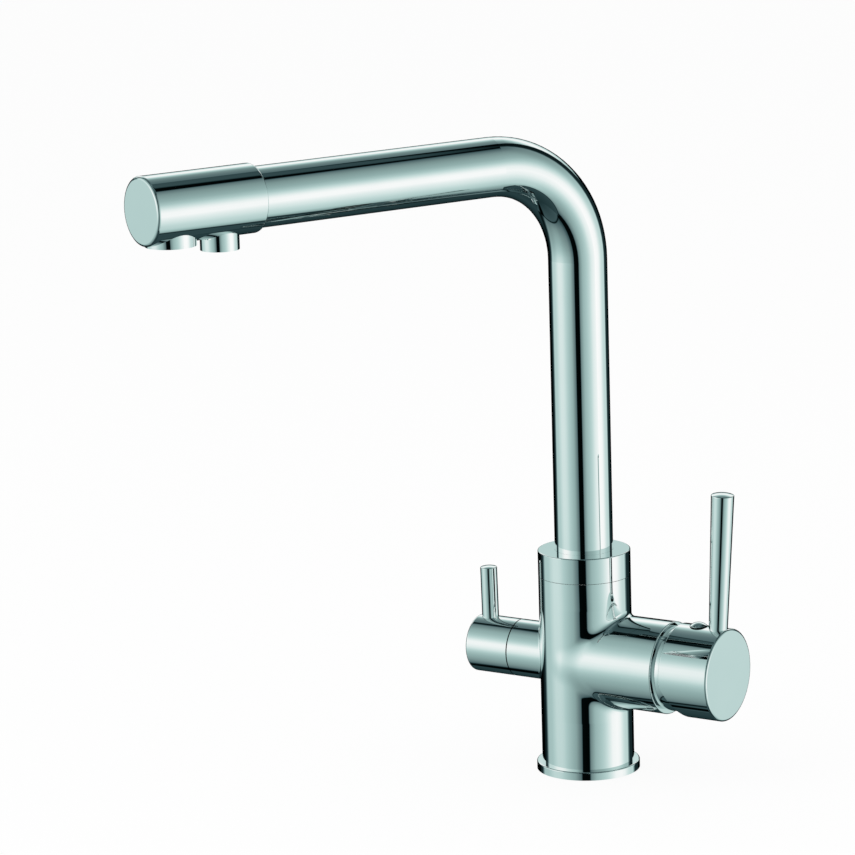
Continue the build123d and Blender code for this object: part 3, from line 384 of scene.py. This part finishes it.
# The skin that is drawn out to the blend: its ends, and the depths between which the drawing sets in
SKIN_LEFT, SKIN_RIGHT = -0.013, 0.032
SKIN_LOW, SKIN_HIGH = BRANCH_Z - 0.028, BRANCH_Z + 0.028
SKIN_DEPTH = 0.001
SKIN_FACING = 0.02
DRAWING_DEPTHS = (0.006, 0.014)
DRAWING_ROUNDS = 6
# The longest edge of its faces, and how far it may lie off the cylinders, past its ends and out on the fillet
FACET = 0.0011
SKIN_ERROR = 0.0001
END_ERROR = 0.00001
FILLET_RISE = 0.0009
WELD = 0.000001


def eased(value, limits):
    """Goes softly from 0 to 1 as the value goes from the first limit to the second."""
    start, end = limits
    share = min(max((value - start) / (end - start), 0.0), 1.0)
    return share * share * (3.0 - 2.0 * share)


def to_body(place):
    return math.hypot(place.x, place.y) - BODY_R


def to_branch(place):
    return math.hypot(place.y, place.z - BRANCH_Z) - BODY_R


def to_casting(place):
    """Distance to the body and branch, run together where the two distances differ by less than a width. The
    branch fades out to the left of the body's axis."""
    width = BLEND_SIDE + (BLEND_FRONT - BLEND_SIDE) * eased(-place.y, NARROWING_DEPTHS)
    body = to_body(place)
    branch = to_branch(place) + BRANCH_FADE * min(place.x, 0.0) ** 2
    share = max(1.0 - abs(body - branch) / width, 0.0)
    return min(body, branch) - width * share ** 3 / 6.0


def slope(place):
    """The distance at a point, and the direction and rate at which it grows."""
    step = 0.00001
    here = to_casting(place)
    turns = [to_casting(place + Vector(axis) * step) - here for axis in ((1, 0, 0), (0, 1, 0), (0, 0, 1))]
    return here, Vector(turns) / step


def on_skin(place):
    """Whether a point lies on the front of the body or of the mixer branch, or on the fillet between them."""
    if not SKIN_LEFT - END_ERROR < place.x < SKIN_RIGHT + END_ERROR:
        return False
    if not SKIN_LOW - END_ERROR < place.z < SKIN_HIGH + END_ERROR:
        return False
    if -place.y < SKIN_DEPTH:
        return False
    if place.x <= 0.0:
        return abs(to_body(place)) < SKIN_ERROR
    return -SKIN_ERROR < min(to_body(place), to_branch(place)) < FILLET_RISE


def cut_front(form, place, axis):
    """Cuts the faces in front of the body's axis along a plane."""
    front = [face for face in form.faces if face.calc_center_median().y < 0.0]
    edges = dict.fromkeys(edge for face in front for edge in face.edges)
    verts = dict.fromkeys(vert for face in front for vert in face.verts)
    bmesh.ops.bisect_plane(form, geom=[*front, *edges, *verts], plane_co=place, plane_no=axis)


def refine(form, skin):
    """Halves the long edges of the marked faces, the longest first and one in a face at a time. Lengths are
    rounded, so that edges of one length keep their order."""
    while True:
        form.edges.index_update()
        rows = []
        for edge in form.edges:
            length = edge.calc_length()
            if length > FACET and any(face[skin] for face in edge.link_faces):
                rows.append((-round(length, 7), edge.index, edge))
        if not rows:
            break
        chosen = []
        taken = set()
        for _, _, edge in sorted(rows, key=lambda row: row[:2]):
            if taken.isdisjoint(edge.link_faces):
                chosen.append(edge)
                taken.update(edge.link_faces)
        bmesh.ops.subdivide_edges(form, edges=chosen, cuts=1, use_single_edge=True)


def copy_casting(source):
    """A copy of the casting's mesh, with its shading normals kept and its skin marked in small faces."""
    form = bmesh.new()
    form.from_mesh(source)
    facing = form.loops.layers.float_vector.new("facing")
    for face in form.faces:
        start = source.polygons[face.index].loop_start
        for step, loop in enumerate(face.loops):
            loop[facing] = source.corner_normals[start + step].vector
    bmesh.ops.remove_doubles(form, verts=form.verts, dist=WELD)
    cut_front(form, (SKIN_RIGHT, 0, 0), (1, 0, 0))
    cut_front(form, (0, 0, SKIN_LOW), (0, 0, 1))
    cut_front(form, (0, 0, SKIN_HIGH), (0, 0, 1))
    bmesh.ops.triangulate(form, faces=[face for face in form.faces if len(face.verts) > 3])
    skin = form.faces.layers.int.new("skin")
    for face in form.faces:
        face[skin] = int(all(on_skin(vert.co) for vert in face.verts) and -face.normal.y > SKIN_FACING)
    refine(form, skin)
    return form


def draw_out(form):
    """Moves the marked skin to the soft blend, and turns its shading normals with it."""
    skin = form.faces.layers.int["skin"]
    facing = form.loops.layers.float_vector["facing"]
    turned = {}
    for vert in form.verts:
        if not vert.link_faces or not all(face[skin] for face in vert.link_faces):
            continue
        share = eased(-vert.co.y, DRAWING_DEPTHS)
        if share == 0.0:
            continue
        place = vert.co.copy()
        for _ in range(DRAWING_ROUNDS):
            away, rise = slope(place)
            place -= rise * (away / rise.length_squared)
        turned[vert] = (share, slope(place)[1].normalized())
        vert.co = vert.co.lerp(place, share)
    for vert, (share, normal) in turned.items():
        for loop in vert.link_loops:
            loop[facing] = loop[facing].normalized().lerp(normal, share)


def make_body_shell(material):
    form = copy_casting(cad["body_casting"].data)
    draw_out(form)
    mesh = bpy.data.meshes.new("body_shell")
    form.to_mesh(mesh)
    form.free()
    normals = [Vector(value.vector).normalized() for value in mesh.attributes["facing"].data]
    mesh.attributes.remove(mesh.attributes["facing"])
    mesh.attributes.remove(mesh.attributes["skin"])
    for face in mesh.polygons:
        face.use_smooth = True
    mesh.normals_split_custom_set(normals)
    mesh.materials.append(material)
    piece = bpy.data.objects.new("body_shell", mesh)
    scene.collection.objects.link(piece)
    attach(piece, "tap_body")
    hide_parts("body_casting")


# ---------------------------------------------------------------- build
make_camera()
make_world()
make_floor()
make_lamp("key", size=1.2, power=9.0, place=(-0.6, -1.0, 1.6))
make_lamp("fill", size=1.4, power=4.0, place=(1.3, 0.2, 1.2))

# The finish of each of the record's material slots
finishes = {
    "polished_chrome": chrome("chrome"),
    "plain_brass": brass(),
    "steel": steel(),
    "ceramic_disc": ceramic(),
    "black_rubber": rubber(),
    "cartridge_plastic": plastic(
        "cartridge_plastic", ((0.80, 0.81, 0.80), (0.86, 0.87, 0.86)), roughness=0.42, grain=1500.0),
    "water_line_plastic": plastic(
        "water_line", ((0.86, 0.88, 0.89), (0.91, 0.93, 0.94)), roughness=0.35, grain=900.0),
    "outlet_insert_plastic": plastic(
        "outlet_insert", ((0.40, 0.41, 0.42), (0.48, 0.49, 0.50)), roughness=0.4, grain=1800.0),
    "slide_ring_plastic": plastic(
        "slide_ring", ((0.77, 0.77, 0.76), (0.82, 0.82, 0.81)), roughness=0.45, grain=1200.0),
}
for row in frame["record"]["subparts"]:
    for slot in cad[row["node"]].material_slots:
        slot.material = finishes[row["material_slot"]].material
# The plug gets a chrome of its own, with a painted line of shade where it sits in its seat
cad["index_plug"].material_slots[0].material = chrome_with_seat_shade("plug_chrome_seat_shade").material

make_body_shell(finishes["polished_chrome"].material)
scene.view_settings.view_transform = "Standard"
